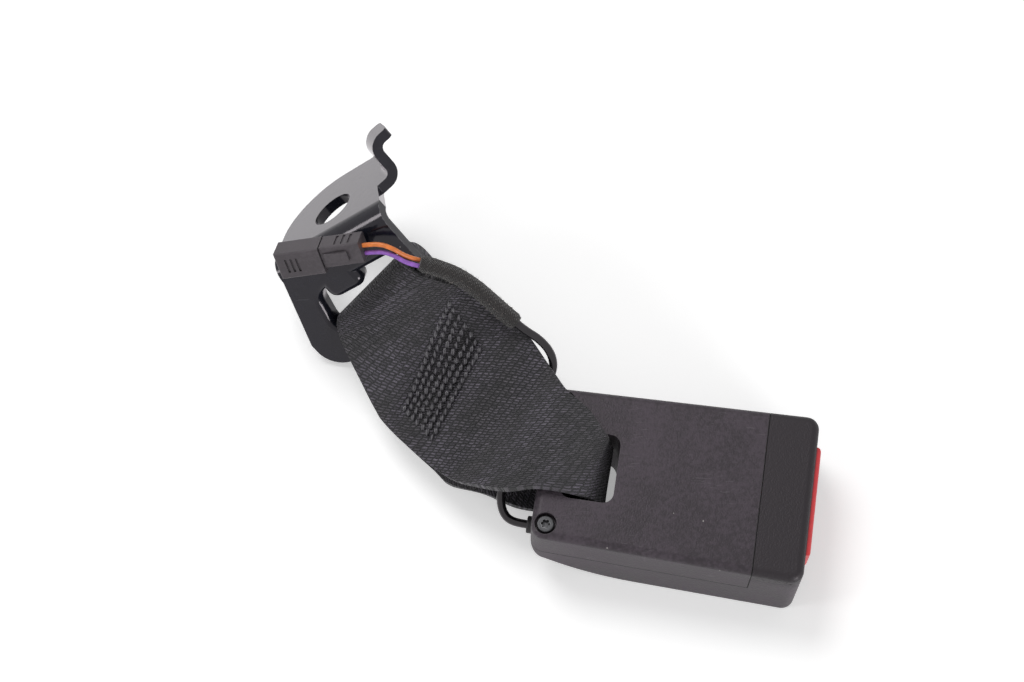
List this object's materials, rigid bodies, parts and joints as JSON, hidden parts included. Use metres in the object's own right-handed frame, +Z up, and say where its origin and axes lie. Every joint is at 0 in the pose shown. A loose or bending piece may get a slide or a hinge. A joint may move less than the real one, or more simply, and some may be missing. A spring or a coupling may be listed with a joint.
{
  "type": "seat belt buckle",
  "caption": "Rear seat belt buckle on a sewn webbing loop with a bent steel anchor bracket, red release button and clipped switch connector.",
  "frame": {"origin": "under the middle of the whole assembly's box, on the surface that it lies on", "axes": "+X along the box's longest side, from the bracket towards the button end; +Z up from the surface"},
  "size_m": [0.1518, 0.1266, 0.0517],
  "materials": {
    "bracket_ecoat": "glossy black coat",
    "connector_plastic": "matte moulded",
    "contact_metal": "plated",
    "wire_orange": "insulation",
    "wire_purple": "insulation",
    "webbing_black": "woven",
    "sleeve_textile": "fuzzy knit",
    "cable_jacket": "smooth jacket",
    "housing_plastic": "fine textured",
    "button_red": "smooth",
    "steel": "zinc plated",
    "screw_steel": "dark coated",
    "spring_steel": "drawn wire",
    "acetal_white": "smooth",
    "board_green": "solder mask",
    "magnet_grey": "sintered",
    "grommet_rubber": "moulded"
  },
  "bodies": {
    "bracket": {"anchor_bracket": "bracket_ecoat", "connector_clip": "connector_plastic", "connector_socket": "connector_plastic", "connector_plug": "connector_plastic", "contact_pin_left": "contact_metal", "contact_pin_right": "contact_metal", "orange_wire": "wire_orange", "purple_wire": "wire_purple"},
    "strap": {"webbing_upper": "webbing_black", "webbing_lower": "webbing_black", "harness_sleeve": "sleeve_textile", "sensor_cable": "cable_jacket"},
    "buckle": {"rear_cover": "housing_plastic", "front_shell": "housing_plastic", "buckle_frame": "steel", "latch_pin": "steel", "latch_spring": "spring_steel", "ejector_spring": "spring_steel", "button_spring_left": "spring_steel", "button_spring_right": "spring_steel", "cover_screw_left": "screw_steel", "cover_screw_right": "screw_steel", "switch_housing": "connector_plastic", "sensor_board": "board_green", "cable_grommet": "grommet_rubber", "switch_leads": "cable_jacket"},
    "release_button": {"release_button": "button_red"},
    "ejector": {"ejector": "acetal_white", "sensor_magnet": "magnet_grey"},
    "latch": {"latch": "steel"},
    "lock_bar": {"lock_bar": "steel"}
  },
  "joints": [
    {"name": "strap_swing", "type": "hinge", "parent": "bracket", "child": "strap", "pos_m": [-0.04178, 0.01682, 0.01673], "axis": [0.7824, 0.1734, 0.5981], "range_deg": [-3, 20], "deforming": ["orange_wire", "purple_wire"]},
    {"name": "buckle_swing", "type": "hinge", "parent": "strap", "child": "buckle", "pos_m": [0.00216, -0.02934, 0.018], "axis": [0.153, 0.9882, 0], "range_deg": [0, 20], "deforming": ["sensor_cable"]},
    {"name": "button_press", "type": "slide", "parent": "buckle", "child": "release_button", "axis": [-0.9882, 0.153, 0], "range_m": [0, 0.0045], "stiffness_N_per_m": 600, "springref_m": -0.002, "deforming": ["button_spring_left", "button_spring_right"]},
    {"name": "ejector_slide", "type": "slide", "parent": "buckle", "child": "ejector", "axis": [-0.9882, 0.153, 0], "range_m": [0, 0.009], "stiffness_N_per_m": 400, "springref_m": -0.003, "deforming": ["ejector_spring"]},
    {"name": "latch_tilt", "type": "hinge", "parent": "buckle", "child": "latch", "pos_m": [0.03467, -0.03438, 0.0152], "axis": [0.153, 0.9882, 0], "range_deg": [0, 10], "deforming": ["latch_spring"]},
    {"name": "lock_slide", "type": "slide", "parent": "buckle", "child": "lock_bar", "axis": [0.9882, -0.153, 0], "range_m": [0, 0.005]}
  ],
  "couplings": [
    {"joint": "latch_tilt", "follows": "ejector_slide", "rad_per_m": 19.39},
    {"joint": "lock_slide", "follows": "ejector_slide", "ratio": 0.5555}
  ]
}
